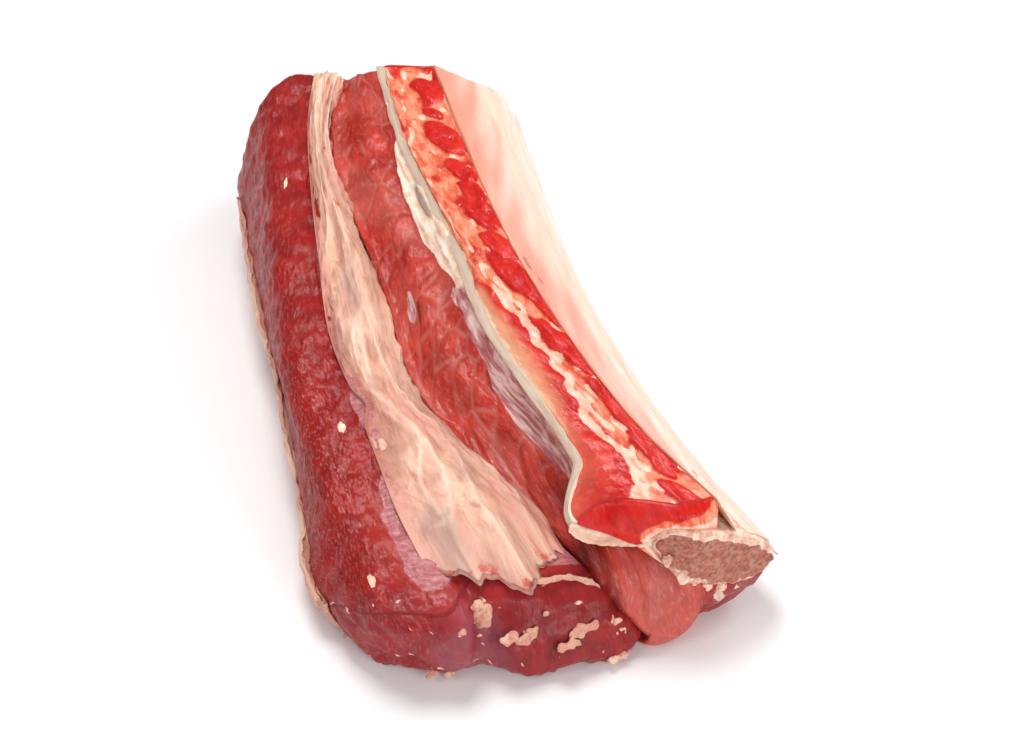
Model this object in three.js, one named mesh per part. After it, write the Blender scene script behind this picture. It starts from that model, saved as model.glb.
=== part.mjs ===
// One raw beef short rib, cut between the bones: a piece of flat rib bone with every layer of meat
// and fat that lies on it, resting on its meat with the inner side of the bone facing up and right.
// Millimetres, +Z up. +Y runs along the bone from the thick near end to the thin far end.
// The shape is a run of cross-sections. Each section is drawn from a few named lines that run the
// length of the rib, such as the ridge or the edge of the fat, so every layer shares its borders.
import * as THREE from 'three';

// ---- driving dimensions -------------------------------------------------------------------------

const GAP = 0.35; // clear space between two layers
const WIDE_GAP = 0.75; // the same where a layer turns sharply
const LENGTH = 215; // mean length of the rib
const BONE_THICK = 19; // rib bone, inner face to outer face
const BONE_PROUD = 2; // the sawn end stands this far out of the meat
const BONE_SQUARENESS = 2.6; // 2 is an ellipse, more is boxier
const MEMBRANE_THICK = 1.2; // skin on the inner side of the bone
const FASCIA_THICK = 1.8; // white sheet beside the rib muscle
const FAT_THICK = 4; // fat sheet between the two large muscles, where it shows
const FAT_EDGE = 1.6; // the same sheet at its edge and where it is buried
const FAT_WIDE = 36; // a sheet that shows this wide has its full thickness
const CAP_THICK = 2.2; // fat left on the outside of the rib
const FAT_FAR_SET_BACK = 2; // the fat sheet stops short of the far end
const CAP_SET_BACK = 4; // and the fat on the outside short of both ends
const EAR_SET_BACK = 18; // the near end of the rib muscle slants back beside the bone
const EAR_X = [12, -15]; // where that slant begins and is whole, across
const EAR_Z = [26, 34]; // and in height
const HOOK_T = [0.09, 0.01]; // along the rib, where the rib muscle's tip hooks outwards
const HOOK = [-8, -6]; // how far it hooks, across and in height
const END_ROUND = 4; // how far the top and foot of each end are rounded back
const HALF_HEIGHT = 28; // the height at which the ends stand out furthest
const FLOOR_LIFT = [0.06, 0.24]; // along the rib, where the inner muscle leaves the floor

// Places along the rib where the lines below are measured: 0 is the near end, 1 the far end.
const STATIONS = [0, 0.15, 0.35, 0.55, 0.8, 1];

// Each line is [x, z] at those stations.
const LINES = {
  leftFoot: [[-79, 0], [-77, 0], [-69, 0], [-58, 0], [-46, 0], [-33, 0]],
  leftSide: [[-86, 12], [-83.5, 14], [-75.5, 16], [-66, 17], [-54, 19], [-41, 22]],
  shoulder: [[-78, 26], [-75, 29], [-69, 34], [-62, 37.5], [-45, 42], [-25, 46.5]],
  fatLeft: [[-63, 29], [-58.5, 33.5], [-53.5, 39], [-47.5, 41.5], [-27, 46], [-6, 50]],
  fatCrown: [[-42, 32], [-40, 34], [-43, 38.5], [-37, 43], [-22, 47.5], [-2.5, 50.8]],
  fatRight: [[-14, 26], [-20, 28], [-33, 35], [-26, 42], [-17, 46.5], [1, 49.5]],
  seamTurn: [[-12.4, 18], [-17, 20], [-29, 28], [-22, 35], [-14, 40], [3, 43]],
  seamMid: [[-9.5, 12], [-8, 14], [-10, 20.5], [-4, 25], [0, 28], [9, 30]],
  seamLow: [[-6.5, 7], [3, 8.5], [11, 11.5], [16, 13], [23, 14], [31, 15]],
  seamEnd: [[-4, 3.6], [12, 4], [27, 5], [31, 5], [40, 5], [49, 5]],
  rightFoot: [[33, 0], [29, 0], [29, 0], [33, 0], [42, 0], [51, 0]],
  rightSide: [[38, 9], [33.5, 10], [32.5, 10.5], [36.5, 11.5], [46.5, 12.5], [56.5, 13.5]],
  innerLeft: [[-13, 27], [-17, 28.5], [-29, 33], [-22.5, 39], [-14, 44], [3.5, 47]],
  innerCrown: [[-13.3, 32], [-13, 35.5], [-22, 40.5], [-15, 45], [-7, 49], [6, 50.5]],
  innerRight: [[-13.5, 36], [-10, 39], [-15.5, 42], [-8.5, 46], [-1.5, 50], [8, 51.5]],
  fasciaTop: [[-11.5, 46.5], [-9.5, 49], [-10, 51], [-3.5, 52], [2, 53.5], [11, 54.5]],
  fasciaFoot: [[-8, 35], [-7, 33], [-8, 34], [-2, 35], [6, 36], [15, 37]],
  stripEdge: [[-2, 50], [1.5, 52.6], [-2.5, 54], [-0.5, 55.2], [5, 56], [14, 56.5]],
  boneLeft: [[1, 41], [1, 45], [1.5, 47.5], [4, 49], [12, 50], [20, 50]],
  boneRight: [[34.5, 17.5], [30, 18], [29, 18.5], [33, 19.5], [42.5, 21], [52, 22.5]],
  ridge: [[18, 50], [10, 53.8], [8, 56], [10.5, 57.4], [18.5, 58], [26, 57.5]],
  membraneRight: [[39, 17], [34.5, 18], [33.5, 18.5], [37.5, 19.5], [47, 21], [57, 22.5]],
};

// The outline of the two ends seen from above, as y over x.
const NEAR_PLAN = { x: [-86, -81, -70, -49, -19, 0, 62], y: [-50, -64, -75, -87, -94, -96, -95] };
const FAR_PLAN = { x: [-86, -45, -30, -18, -8, 2, 26, 62], y: [100, 117, 130, 136, 135, 129, 113, 108] };

// How far the fat sheet stops short of the near end, as set-back over x.
const FAT_PLAN = { x: [-63, -50, -38, -22, -12], back: [16, 10, 8, 19, 25] };

// The near ends of the two large muscles lean back with height, each over a stretch across.
const OUTER_LEAN = { back: 12, z: [2, 22], x: [-62, -48] };
const INNER_LEAN = { back: 16, z: [0, 28], x: [14, 4] };

// Relief on the cut faces.
const FIBRE_HEIGHT = 0.9; // muscle bundles
const FIBRE_PITCH = 13; // from one bundle to the next
const FIBRE_WANDER = 1.7; // how unevenly the bundles follow each other
const OUTER_SLANT = 30; // how far a bundle runs along the rib as it crosses the outer muscle
const INNER_SLANT = -26; // and the inner muscle
const RIB_MUSCLE_HEIGHT = 1.5; // lobes of the muscle between the ribs
const RIB_MUSCLE_LOBES = 15;
const LOBE_SLANT = -1.3; // lobes passed in crossing the strip
const FAT_FOLD_HEIGHT = 0.8;
const FAT_FOLDS = 9; // phase of the folds along the rib
const FAT_FOLD_SLANT = 5; // and across the sheet

// Fineness: cross-sections along a layer, and parts of a curve in a section.
const MUSCLE_SECTIONS = 28;
const SKIN_SECTIONS = 20;
const RIB_MUSCLE_SECTIONS = 3 * RIB_MUSCLE_LOBES;
const CUT_PARTS = 14; // the outer muscle's cut edge
const FACE_PARTS = 12; // the inner muscle's face
const STRIP_PARTS = 8; // the top of the rib muscle
const END_RINGS = 3; // smaller loops on the ends of the outer muscle

// ---- lines and curves ---------------------------------------------------------------------------

// A smooth curve through values at rising places, as a cubic with the slopes of its neighbours.
function through(places, values, at) {
  const last = places.length - 1;
  const here = Math.min(Math.max(at, places[0]), places[last]);
  let i = 0;
  while (i < last - 1 && here > places[i + 1]) i += 1;
  const slope = (k) => {
    const a = Math.max(k - 1, 0);
    const b = Math.min(k + 1, last);
    return (values[b] - values[a]) / (places[b] - places[a]);
  };
  const length = places[i + 1] - places[i];
  const u = (here - places[i]) / length;
  const rise = values[i + 1] - values[i];
  const bend = u * (1 - u);
  const ahead = (slope(i) * length - rise) * (1 - u);
  const behind = (rise - slope(i + 1) * length) * u;
  return values[i] + rise * u + bend * (ahead + behind);
}

// Where a named line crosses the section at t.
function line(name, t) {
  const x = through(STATIONS, LINES[name].map((p) => p[0]), t);
  const z = through(STATIONS, LINES[name].map((p) => p[1]), t);
  return new THREE.Vector2(x, z);
}

const smooth = (points, parts) => new THREE.SplineCurve(points).getPoints(parts);

// Rises smoothly from 0 at one place to 1 at the other.
const step = ([from, to], at) => THREE.MathUtils.smoothstep((at - from) / (to - from), 0, 1);

// Moves each point of a section curve to its right-hand side.
function shift(points, distance) {
  return points.map((p, i) => {
    const a = points[Math.max(i - 1, 0)];
    const b = points[Math.min(i + 1, points.length - 1)];
    const along = b.clone().sub(a).normalize();
    const far = typeof distance === 'number' ? distance : distance(i / (points.length - 1));
    return new THREE.Vector2(p.x + along.y * far, p.y - along.x * far);
  });
}

// The top of the white sheet, which hooks outwards at the near end.
function sheetTop(t) {
  return line('fasciaTop', t).addScaledVector(new THREE.Vector2(...HOOK), step(HOOK_T, t));
}

// The sheet's left side, from its top to its foot.
const sheetLine = (t) => {
  const top = sheetTop(t);
  const foot = line('fasciaFoot', t);
  return [0, 1, 2, 3].map((k) => top.clone().lerp(foot, k / 3));
};

// Puts a section point at t in space. All layers share it, so their borders stay together.
function place(p, t) {
  const height = (p.y - HALF_HEIGHT) / HALF_HEIGHT;
  const ear = EAR_SET_BACK * step(EAR_X, p.x) * step(EAR_Z, p.y);
  const near = through(NEAR_PLAN.x, NEAR_PLAN.y, p.x) + END_ROUND * height * height + ear;
  const far = through(FAR_PLAN.x, FAR_PLAN.y, p.x) - END_ROUND * height * height;
  return new THREE.Vector3(p.x, THREE.MathUtils.lerp(near, far, t), p.y);
}

// ---- borders between layers ---------------------------------------------------------------------

const SEAM = ['fatLeft', 'fatCrown', 'fatRight', 'seamTurn', 'seamMid', 'seamLow', 'seamEnd'];
const SEAM_PARTS = 18;
const SEAM_SHOWS = 6; // this many parts of the seam lie in the open, from fatLeft to fatRight
const FAT_TAPER = 1.4; // the sheet is thin from here on, in widths of its open part

// The upper side of the fat sheet, from its left edge over its crown and down under the bone.
const seam = (t) => smooth(SEAM.map((name) => line(name, t)), SEAM_PARTS);

// Thickness of the fat sheet along the seam: thickest at its crown, and thinner where it is narrow.
function fatThickness(t) {
  const width = line('fatLeft', t).distanceTo(line('fatRight', t));
  const extra = (FAT_THICK - FAT_EDGE) * Math.min(width / FAT_WIDE, 1);
  const end = (SEAM_SHOWS / SEAM_PARTS) * FAT_TAPER;
  return (u) => FAT_EDGE + extra * Math.sin(Math.PI * Math.min(u / end, 1));
}

const BONE_SIDES = 24;

// The bone's section: a rounded box that lies on the slope between its left and right edges.
function boneOutline(t, grow = 0) {
  const left = line('boneLeft', t);
  const right = line('boneRight', t);
  const middle = left.clone().lerp(right, 0.5);
  const half = left.distanceTo(right) / 2;
  const slope = right.clone().sub(left).normalize();
  const inward = new THREE.Vector2(slope.y, -slope.x);
  const round = (v) => Math.sign(v) * Math.abs(v) ** (2 / BONE_SQUARENESS);
  const points = [];
  for (let k = 0; k < BONE_SIDES; k += 1) {
    const angle = (2 * Math.PI * k) / BONE_SIDES;
    const along = (half + grow) * round(Math.cos(angle));
    const deep = -(BONE_THICK / 2 + grow) * round(Math.sin(angle));
    points.push(middle.clone().addScaledVector(slope, along).addScaledVector(inward, deep));
  }
  return points;
}

// Corners of the bone, as points of its outline: the first is its right tip, and they run
// over the inner face to the left tip and back under the outer face.
const BONE_UPPER_LEFT = 7;
const BONE_LOWER_LEFT = 16;
const BONE_LOWER_RIGHT = 22;
const BONE_UPPER_RIGHT = 26;

const bonePart = (t, from, to, grow) => {
  const outline = boneOutline(t, grow);
  const points = [];
  for (let k = from; k <= to; k += 1) points.push(outline[k % BONE_SIDES]);
  return points;
};

// ---- solids -------------------------------------------------------------------------------------

// Joins sections into one closed body. Each section is a loop of the same number of points,
// counterclockwise as seen from the near end. A layer that stops short of an end starts or ends
// some millimetres in, and its near end may slant, as a function of the section point. Smaller
// copies of the loop at each end let the middle of a wide end follow its curve.
function loft(section, stations, { startsAt = () => 0, endsAt = LENGTH, endRings = 0 } = {}) {
  const starts = section(0).map((p) => startsAt(p) / LENGTH);
  const count = starts.length;
  const positions = [];
  const loops = [];
  for (let j = -endRings; j <= stations + endRings; j += 1) {
    const along = THREE.MathUtils.clamp(j / stations, 0, 1);
    const inwards = Math.max(-j, j - stations, 0) / (endRings + 1);
    const at = starts.map((start) => THREE.MathUtils.lerp(start, endsAt / LENGTH, along));
    const loop = at.map((t, i) => section(t)[i]);
    const middle = new THREE.Vector2();
    loop.forEach((p) => middle.addScaledVector(p, 1 / count));
    loop.forEach((p, i) => {
      p.lerp(middle, inwards);
      const v = place(p, j < 0 ? startsAt(p) / LENGTH : at[i]);
      positions.push(v.x, v.y, v.z);
    });
    loops.push(loop);
  }
  const last = (loops.length - 1) * count;
  const index = [];
  for (let first = 0; first < last; first += count) {
    for (let i = 0; i < count; i += 1) {
      const a = first + i;
      const b = first + ((i + 1) % count);
      index.push(a, b + count, b, a, a + count, b + count);
    }
  }
  const cap = (loop) => THREE.ShapeUtils.triangulateShape(loop, []);
  cap(loops[0]).forEach(([a, b, c]) => index.push(a, b, c));
  cap(loops[loops.length - 1]).forEach(([a, b, c]) => index.push(last + a, last + c, last + b));
  const geometry = new THREE.BufferGeometry();
  geometry.setAttribute('position', new THREE.Float32BufferAttribute(positions, 3));
  geometry.setIndex(index);
  return geometry;
}

// Low bundles that cross a cut face on the slant; 0 at both edges of the face.
function bundles(t, u, slant) {
  const run = (t * LENGTH + slant * u) / FIBRE_PITCH;
  const wave = Math.sin(2 * Math.PI * run + FIBRE_WANDER * Math.sin(run));
  return FIBRE_HEIGHT * wave * Math.sin(Math.PI * u);
}

// The knife-cut left edge of the rib, from the fat sheet down to the floor.
const cutEdge = (t) => {
  const names = ['shoulder', 'leftSide', 'leftFoot'];
  return (top) => smooth([top, ...names.map((name) => line(name, t))], CUT_PARTS);
};

const BUNDLES_END = 0.62; // the bundles fade out this far down the cut edge

// The large outer muscle: it lies flat under the whole rib and turns up at the left,
// where its knife-cut edge shows.
function outerMuscle(t) {
  const foot = line('leftFoot', t);
  const thickness = fatThickness(t);
  const under = shift(seam(t), (u) => thickness(u) + WIDE_GAP);
  const end = under[under.length - 1];
  const floorEnd = new THREE.Vector2(end.x + (1 - reachesFloor(t)), 0);
  const floor = [0, 0.25, 0.5, 0.75, 1].map((u) => foot.clone().lerp(floorEnd, u));
  const cut = cutEdge(t)(under[0]);
  const face = shift(cut, (u) => -bundles(t, Math.min(u / BUNDLES_END, 1), OUTER_SLANT));
  return [...floor, ...under.reverse(), ...face.slice(1, -1)];
}

// The sheet of fat and skin between the muscles.
function fatSeam(t) {
  const fold = (u) => {
    const across = Math.min((u * SEAM_PARTS) / SEAM_SHOWS, 1);
    const wave = Math.sin(FAT_FOLDS * t + FAT_FOLD_SLANT * across);
    return -FAT_FOLD_HEIGHT * wave * Math.sin(Math.PI * across);
  };
  const lower = shift(seam(t), fatThickness(t));
  const upper = shift(seam(t), fold);
  return [...lower, ...upper.reverse()];
}

// Near the thick end the inner muscle reaches down to the floor beside the outer one.
const reachesFloor = (t) => 1 - step(FLOOR_LIFT, t);

// The fat's near edge runs back on the slant, which bares the end of the outer muscle.
const fatNearEdge = (p) => through(FAT_PLAN.x, FAT_PLAN.back, p.x);

const leans = (lean) => (p) => lean.back * step(lean.z, p.y) * step(lean.x, p.x);

const WALL_DROP = [2.2, 1.4]; // the inner muscle lies this much lower beside the white sheet
const EDGE_RISE = 0.4; // its thin right edge, where it clears the floor
const EDGE_ROOM = 0.6; // room beside the end of the fat sheet

// The inner muscle: from the hollow beside the fat, under the bone, to the right side.
function innerMuscle(t) {
  const bed = shift(seam(t), -GAP).slice(SEAM_SHOWS + 1);
  const onFloor = reachesFloor(t);
  const foot = line('rightFoot', t);
  const bedEnd = bed[bed.length - 1];
  foot.y = THREE.MathUtils.lerp(bedEnd.y + EDGE_RISE, 0, onFloor);
  const under = THREE.MathUtils.lerp(bedEnd.y - EDGE_RISE / 2, 0, onFloor);
  const left = new THREE.Vector2(bedEnd.x + EDGE_ROOM, under);
  const side = line('rightSide', t);
  const roof = bonePart(t, BONE_LOWER_LEFT + 1, BONE_LOWER_RIGHT, GAP * 2).reverse();
  const wallTop = sheetTop(t).add(new THREE.Vector2(-GAP, -WALL_DROP[0]));
  const wallFoot = line('fasciaFoot', t).add(new THREE.Vector2(-GAP, -WALL_DROP[1]));
  const skin = [wallTop, line('innerRight', t), line('innerCrown', t), line('innerLeft', t)];
  const face = smooth([...skin, bed[0]], FACE_PARTS).slice(0, -1);
  const cut = shift(face, (u) => -bundles(t, u, INNER_SLANT));
  return [...bed, left, foot, side, ...roof, wallFoot, ...cut];
}

// The muscle between the ribs, on the edge of the bone: a row of lobes with fat between them.
function ribMuscle(t) {
  const wall = shift(sheetLine(t), -FASCIA_THICK - WIDE_GAP);
  const ridge = line('ridge', t).add(new THREE.Vector2(-MEMBRANE_THICK, -MEMBRANE_THICK));
  const strip = smooth([ridge, line('stripEdge', t), wall[0]], STRIP_PARTS);
  const lobes = (u) => {
    const beat = Math.abs(Math.sin(Math.PI * (RIB_MUSCLE_LOBES * t + LOBE_SLANT * u)));
    return -RIB_MUSCLE_HEIGHT * (beat - 0.5) * Math.sin(Math.PI * u);
  };
  const edge = bonePart(t, BONE_UPPER_LEFT, BONE_LOWER_LEFT, GAP).reverse();
  return [...shift(strip, lobes), ...wall.slice(1), ...edge];
}

// The white sheet between the rib muscle and the inner muscle.
function fascia(t) {
  const left = sheetLine(t);
  return [...left, ...shift(left, -FASCIA_THICK).reverse()];
}

const SKIN_ROOM = 0.9; // between this muscle and the skins above and below it

// The same muscle on the far side of the bone, hidden under the right edge.
function hiddenRibMuscle(t) {
  const edge = bonePart(t, BONE_LOWER_RIGHT, BONE_UPPER_RIGHT, GAP).reverse();
  const tip = line('membraneRight', t).add(new THREE.Vector2(-SKIN_ROOM, -SKIN_ROOM));
  const side = line('rightSide', t).add(new THREE.Vector2(0, SKIN_ROOM));
  return [...edge, side, tip];
}

const bone = (t) => boneOutline(t);

// The skin on the inner face of the bone, from the ridge to the right edge.
function membrane(t) {
  const onBone = bonePart(t, BONE_UPPER_RIGHT - BONE_SIDES, BONE_UPPER_LEFT - 1, GAP).reverse();
  const lower = [line('ridge', t), ...onBone, line('membraneRight', t)];
  const upper = shift(lower, (u) => -MEMBRANE_THICK * (0.5 + 0.5 * Math.sin(Math.PI * u)));
  return [...lower, ...upper.reverse()];
}

const CAP_SPAN = [9, 13]; // the parts of the cut edge that it covers

// Fat left on the outside of the rib, a low sheet on the left side.
function fatCap(t) {
  const cut = cutEdge(t)(line('fatLeft', t));
  const inner = shift(cut, GAP).slice(...CAP_SPAN);
  const outer = shift(cut, GAP + CAP_THICK).slice(...CAP_SPAN);
  return [...outer, ...inner.reverse()];
}

// ---- the rib ------------------------------------------------------------------------------------

const rib = new THREE.Group();

function add(name, geometry, color, roughness) {
  const material = new THREE.MeshStandardMaterial({ color, roughness, metalness: 0 });
  const mesh = new THREE.Mesh(geometry, material);
  mesh.name = name;
  rib.add(mesh);
}

const outerEnds = { startsAt: leans(OUTER_LEAN), endRings: END_RINGS };
const innerEnds = { startsAt: leans(INNER_LEAN) };
const fatEnds = { startsAt: fatNearEdge, endsAt: LENGTH - FAT_FAR_SET_BACK };
const boneEnds = { startsAt: () => -BONE_PROUD };
const capEnds = { startsAt: () => CAP_SET_BACK, endsAt: LENGTH - CAP_SET_BACK };

add('outer_muscle', loft(outerMuscle, MUSCLE_SECTIONS, outerEnds), 0x9c2a26, 0.4);
add('fat_seam', loft(fatSeam, MUSCLE_SECTIONS, fatEnds), 0xecd0b4, 0.5);
add('inner_muscle', loft(innerMuscle, MUSCLE_SECTIONS, innerEnds), 0xb83a30, 0.4);
add('rib_muscle', loft(ribMuscle, RIB_MUSCLE_SECTIONS), 0xd0302a, 0.35);
add('hidden_rib_muscle', loft(hiddenRibMuscle, SKIN_SECTIONS), 0xc0302a, 0.4);
add('fascia', loft(fascia, RIB_MUSCLE_SECTIONS), 0xf2dcc6, 0.5);
add('bone', loft(bone, SKIN_SECTIONS, boneEnds), 0xd8b49a, 0.6);
add('membrane', loft(membrane, SKIN_SECTIONS), 0xe9c9b8, 0.35);
add('fat_cap', loft(fatCap, SKIN_SECTIONS, capEnds), 0xecd2b8, 0.5);

// The origin is the middle of the rib's footprint, on the surface that it rests on.
const box = new THREE.Box3().setFromObject(rib);
const middle = box.getCenter(new THREE.Vector3());
rib.position.set(-middle.x, -middle.y, -box.min.z);

export default rib;
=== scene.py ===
# One raw beef short rib, cut between the bones, lying on its meat with the inner side of the bone
# facing up and right. The shape follows the same named lines as the CAD part, in millimetres,
# and every layer is drawn between two curves of each cross-section.
import math

import bpy
import numpy as np
from mathutils import Matrix, Vector, noise


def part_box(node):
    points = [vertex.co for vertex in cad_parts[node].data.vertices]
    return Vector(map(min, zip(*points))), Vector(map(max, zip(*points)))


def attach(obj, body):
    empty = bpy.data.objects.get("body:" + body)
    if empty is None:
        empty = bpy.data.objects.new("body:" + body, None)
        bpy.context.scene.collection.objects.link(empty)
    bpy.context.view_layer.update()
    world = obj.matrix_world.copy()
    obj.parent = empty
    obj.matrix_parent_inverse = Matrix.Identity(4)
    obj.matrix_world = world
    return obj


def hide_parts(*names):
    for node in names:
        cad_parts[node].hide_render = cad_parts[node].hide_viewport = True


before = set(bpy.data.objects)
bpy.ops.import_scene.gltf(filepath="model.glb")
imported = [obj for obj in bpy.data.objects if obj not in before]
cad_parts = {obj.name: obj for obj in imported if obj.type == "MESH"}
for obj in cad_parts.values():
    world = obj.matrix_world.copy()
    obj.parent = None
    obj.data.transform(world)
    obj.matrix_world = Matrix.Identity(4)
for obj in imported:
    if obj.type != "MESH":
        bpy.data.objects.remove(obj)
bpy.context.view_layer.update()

MM = 0.001

# ---- sizes, in millimetres -----------------------------------------------------------------------

GAP = -0.5  # the layers are pressed a little into one another
BONE_THICK = 19
BONE_WIDE = 40
BONE_PROUD = 2
BONE_SQUARENESS = 2.6
BONE_SIDES = 24
MEMBRANE_THICK = 1.2
FASCIA_THICK = 1.8
FAT_THICK = 4
FAT_EDGE = 1.6
FAT_WIDE = 36
FAT_FAR_SET_BACK = 2
FAT_TAPER = 1.4
CAP_THICK = 2.2
CAP_SPAN = (9, 13)
CAP_SET_BACK = 4
EAR_SET_BACK = 18
EAR_X = (12, -15)
EAR_Z = (26, 34)
HOOK_T = (0.09, 0.01)
HOOK = (-8, -6)
END_ROUND = 4
HALF_HEIGHT = 28
FLOOR_LIFT = (0.06, 0.24)
LENGTH = 215
SEAM_PARTS = 18
SEAM_SHOWS = 6
CUT_PARTS = 14
FACE_PARTS = 12
STRIP_PARTS = 8
WALL_DROP = (0.9, 0.8)
RIDGE_TUCK = (1.3, -2.1)  # the rib muscle's edge runs under the membrane by this much

# Places along the rib where the lines are measured: 0 is the near end, 1 the far end.
STATIONS = (0, 0.15, 0.35, 0.55, 0.8, 1)

# Each line is [x, z] at those stations.
LINES = {
    "left_foot": [[-79, 0], [-77, 0], [-69, 0], [-58, 0], [-46, 0], [-33, 0]],
    "left_side": [[-86, 12], [-83.5, 14], [-75.5, 16], [-66, 17], [-54, 19], [-41, 22]],
    "shoulder": [[-78, 26], [-75, 29], [-69, 34], [-62, 37.5], [-45, 42], [-25, 46.5]],
    "fat_left": [[-63, 29], [-58.5, 33.5], [-53.5, 39], [-47.5, 41.5], [-27, 46], [-6, 50]],
    "fat_crown": [[-42, 32], [-40, 34], [-43, 38.5], [-37, 43], [-22, 47.5], [-2.5, 50.8]],
    "fat_right": [[-14, 26], [-20, 28], [-33, 35], [-26, 42], [-17, 46.5], [1, 49.5]],
    "seam_turn": [[-12.4, 18], [-17, 20], [-29, 28], [-22, 35], [-14, 40], [3, 43]],
    "seam_mid": [[-9.5, 12], [-8, 14], [-10, 20.5], [-4, 25], [0, 28], [9, 30]],
    "seam_low": [[-6.5, 7], [3, 8.5], [11, 11.5], [16, 13], [23, 14], [31, 15]],
    "seam_end": [[-4, 3.6], [12, 4], [27, 5], [31, 5], [40, 5], [49, 5]],
    "right_foot": [[33, 0], [29, 0], [29, 0], [33, 0], [42, 0], [51, 0]],
    "right_side": [[38, 9], [33.5, 10], [32.5, 10.5], [36.5, 11.5], [46.5, 12.5], [56.5, 13.5]],
    "inner_left": [[-13, 27], [-17, 28.5], [-29, 33], [-22.5, 39], [-14, 44], [3.5, 47]],
    "inner_crown": [[-13.3, 32], [-13, 35.5], [-22, 40.5], [-15, 45], [-7, 49], [6, 50.5]],
    "inner_right": [[-13.5, 36], [-10, 39], [-15.5, 42], [-8.5, 46], [-1.5, 50], [8, 51.5]],
    "fascia_top": [[-11.5, 46.5], [-9.5, 49], [-10, 51], [-3.5, 52], [2, 53.5], [11, 54.5]],
    "fascia_foot": [[-8, 35], [-7, 33], [-8, 34], [-2, 35], [6, 36], [15, 37]],
    "strip_edge": [[-2, 50], [1.5, 52.6], [-2.5, 54], [-0.5, 55.2], [5, 56], [14, 56.5]],
    "bone_left": [[1, 41], [1, 45], [1.5, 47.5], [4, 49], [12, 50], [20, 50]],
    "bone_right": [[34.5, 17.5], [30, 18], [29, 18.5], [33, 19.5], [42.5, 21], [52, 22.5]],
    "ridge": [[18, 50], [10, 53.8], [8, 56], [10.5, 57.4], [18.5, 58], [26, 57.5]],
    "membrane_right": [[39, 17], [34.5, 18], [33.5, 18.5], [37.5, 19.5], [47, 21], [57, 22.5]],
}
SEAM = ("fat_left", "fat_crown", "fat_right", "seam_turn", "seam_mid", "seam_low", "seam_end")

# The outline of the two ends seen from above: places across, and y there.
NEAR_PLAN = ((-86, -81, -70, -49, -19, 0, 62), (-50, -64, -75, -87, -94, -96, -95))
FAR_PLAN = ((-86, -45, -30, -18, -8, 2, 26, 62), (100, 117, 130, 136, 135, 129, 113, 108))

# The fat sheet's near edge: places across, and how far it stops short of the near end.
FAT_PLAN = ((-63, -50, -38, -22, -12), (16, 10, 8, 19, 25))

# How far the upper part of a muscle's near end leans back, and where the lean begins and is whole.
OUTER_LEAN = (12, (2, 22), (-62, -48))
INNER_LEAN = (16, (0, 28), (14, 4))


# ---- lines and curves ----------------------------------------------------------------------------


def through(places, values, at):
    """A smooth curve through values at rising places, read at many places at once."""
    places = np.array(places, float)
    values = np.array(values, float)
    last = len(places) - 1
    at = np.clip(at, places[0], places[-1])
    ahead = np.minimum(np.arange(last + 1) + 1, last)
    behind = np.maximum(np.arange(last + 1) - 1, 0)
    slopes = (values[ahead] - values[behind]) / (places[ahead] - places[behind])
    i = np.clip(np.searchsorted(places, at, side="right") - 1, 0, last - 1)
    length = places[i + 1] - places[i]
    u = (at - places[i]) / length
    climb = values[i + 1] - values[i]
    bend = (slopes[i] * length - climb) * (1 - u) + (climb - slopes[i + 1] * length) * u
    return values[i] + climb * u + u * (1 - u) * bend


def line(name, t):
    """Where a named line crosses the sections at t."""
    table = np.array(LINES[name], float)
    return np.stack([through(STATIONS, table[:, 0], t), through(STATIONS, table[:, 1], t)], -1)


def curve(points, at):
    """The smooth curve through a section's points; at runs from 0 at the first to 1 at the last."""
    stack = np.stack(points)
    last = len(points) - 1
    at = np.clip(np.broadcast_to(at, stack.shape[1:-1]), 0, 1) * last
    i = np.minimum(at.astype(int), last - 1)
    w = (at - i)[..., None]

    def pick(k):
        index = np.clip(i + k, 0, last)[None, ..., None]
        return np.take_along_axis(stack, index, 0)[0]

    a, b, c, d = pick(-1), pick(0), pick(1), pick(2)
    out, back = (c - a) / 2, (d - b) / 2
    return (2 * b - 2 * c + out + back) * w**3 + (3 * c - 3 * b - 2 * out - back) * w**2 + out * w + b


def smooth(points, parts):
    return [curve(points, k / parts) for k in range(parts + 1)]


def rise(span, at):
    """Rises smoothly from 0 at the first place to 1 at the second."""
    x = np.clip((at - span[0]) / (span[1] - span[0]), 0, 1)
    return x * x * (3 - 2 * x)


def hump(middle, width, at):
    """1 at the middle, and nothing some widths away."""
    return np.exp(-(((at - middle) / width) ** 2))


def shift(points, distance):
    """Moves each point of a section curve to its right-hand side."""
    last = len(points) - 1
    moved = []
    for i, p in enumerate(points):
        along = points[min(i + 1, last)] - points[max(i - 1, 0)]
        along = along / np.linalg.norm(along, axis=-1, keepdims=True)
        far = np.asarray(distance(i / last) if callable(distance) else distance, float)
        right = np.stack([along[..., 1], -along[..., 0]], -1)
        moved.append(p + right * far[..., None])
    return moved


def place(p, t):
    """Puts section points at t in space."""
    x, z = p[..., 0], p[..., 1]
    height = (z - HALF_HEIGHT) / HALF_HEIGHT
    ear = EAR_SET_BACK * rise(EAR_X, x) * rise(EAR_Z, z)
    near = through(*NEAR_PLAN, x) + END_ROUND * height**2 + ear
    far = through(*FAR_PLAN, x) - END_ROUND * height**2
    return np.stack([x, near + (far - near) * t, z], -1)


def sheet_top(t):
    """The upper edge of the fascia, which hooks outwards at the near end."""
    return line("fascia_top", t) + np.array(HOOK) * rise(HOOK_T, t)[..., None]


def sheet_line(t):
    top, foot = sheet_top(t), line("fascia_foot", t)
    return [top + (foot - top) * k / 3 for k in range(4)]


def leans(lean):
    back, z, x = lean
    return lambda p: back * rise(z, p[:, 1]) * rise(x, p[:, 0])


# ---- sections: each gives its lower and upper curve, both from left to right ---------------------


def seam(t):
    return smooth([line(name, t) for name in SEAM], SEAM_PARTS)


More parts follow.
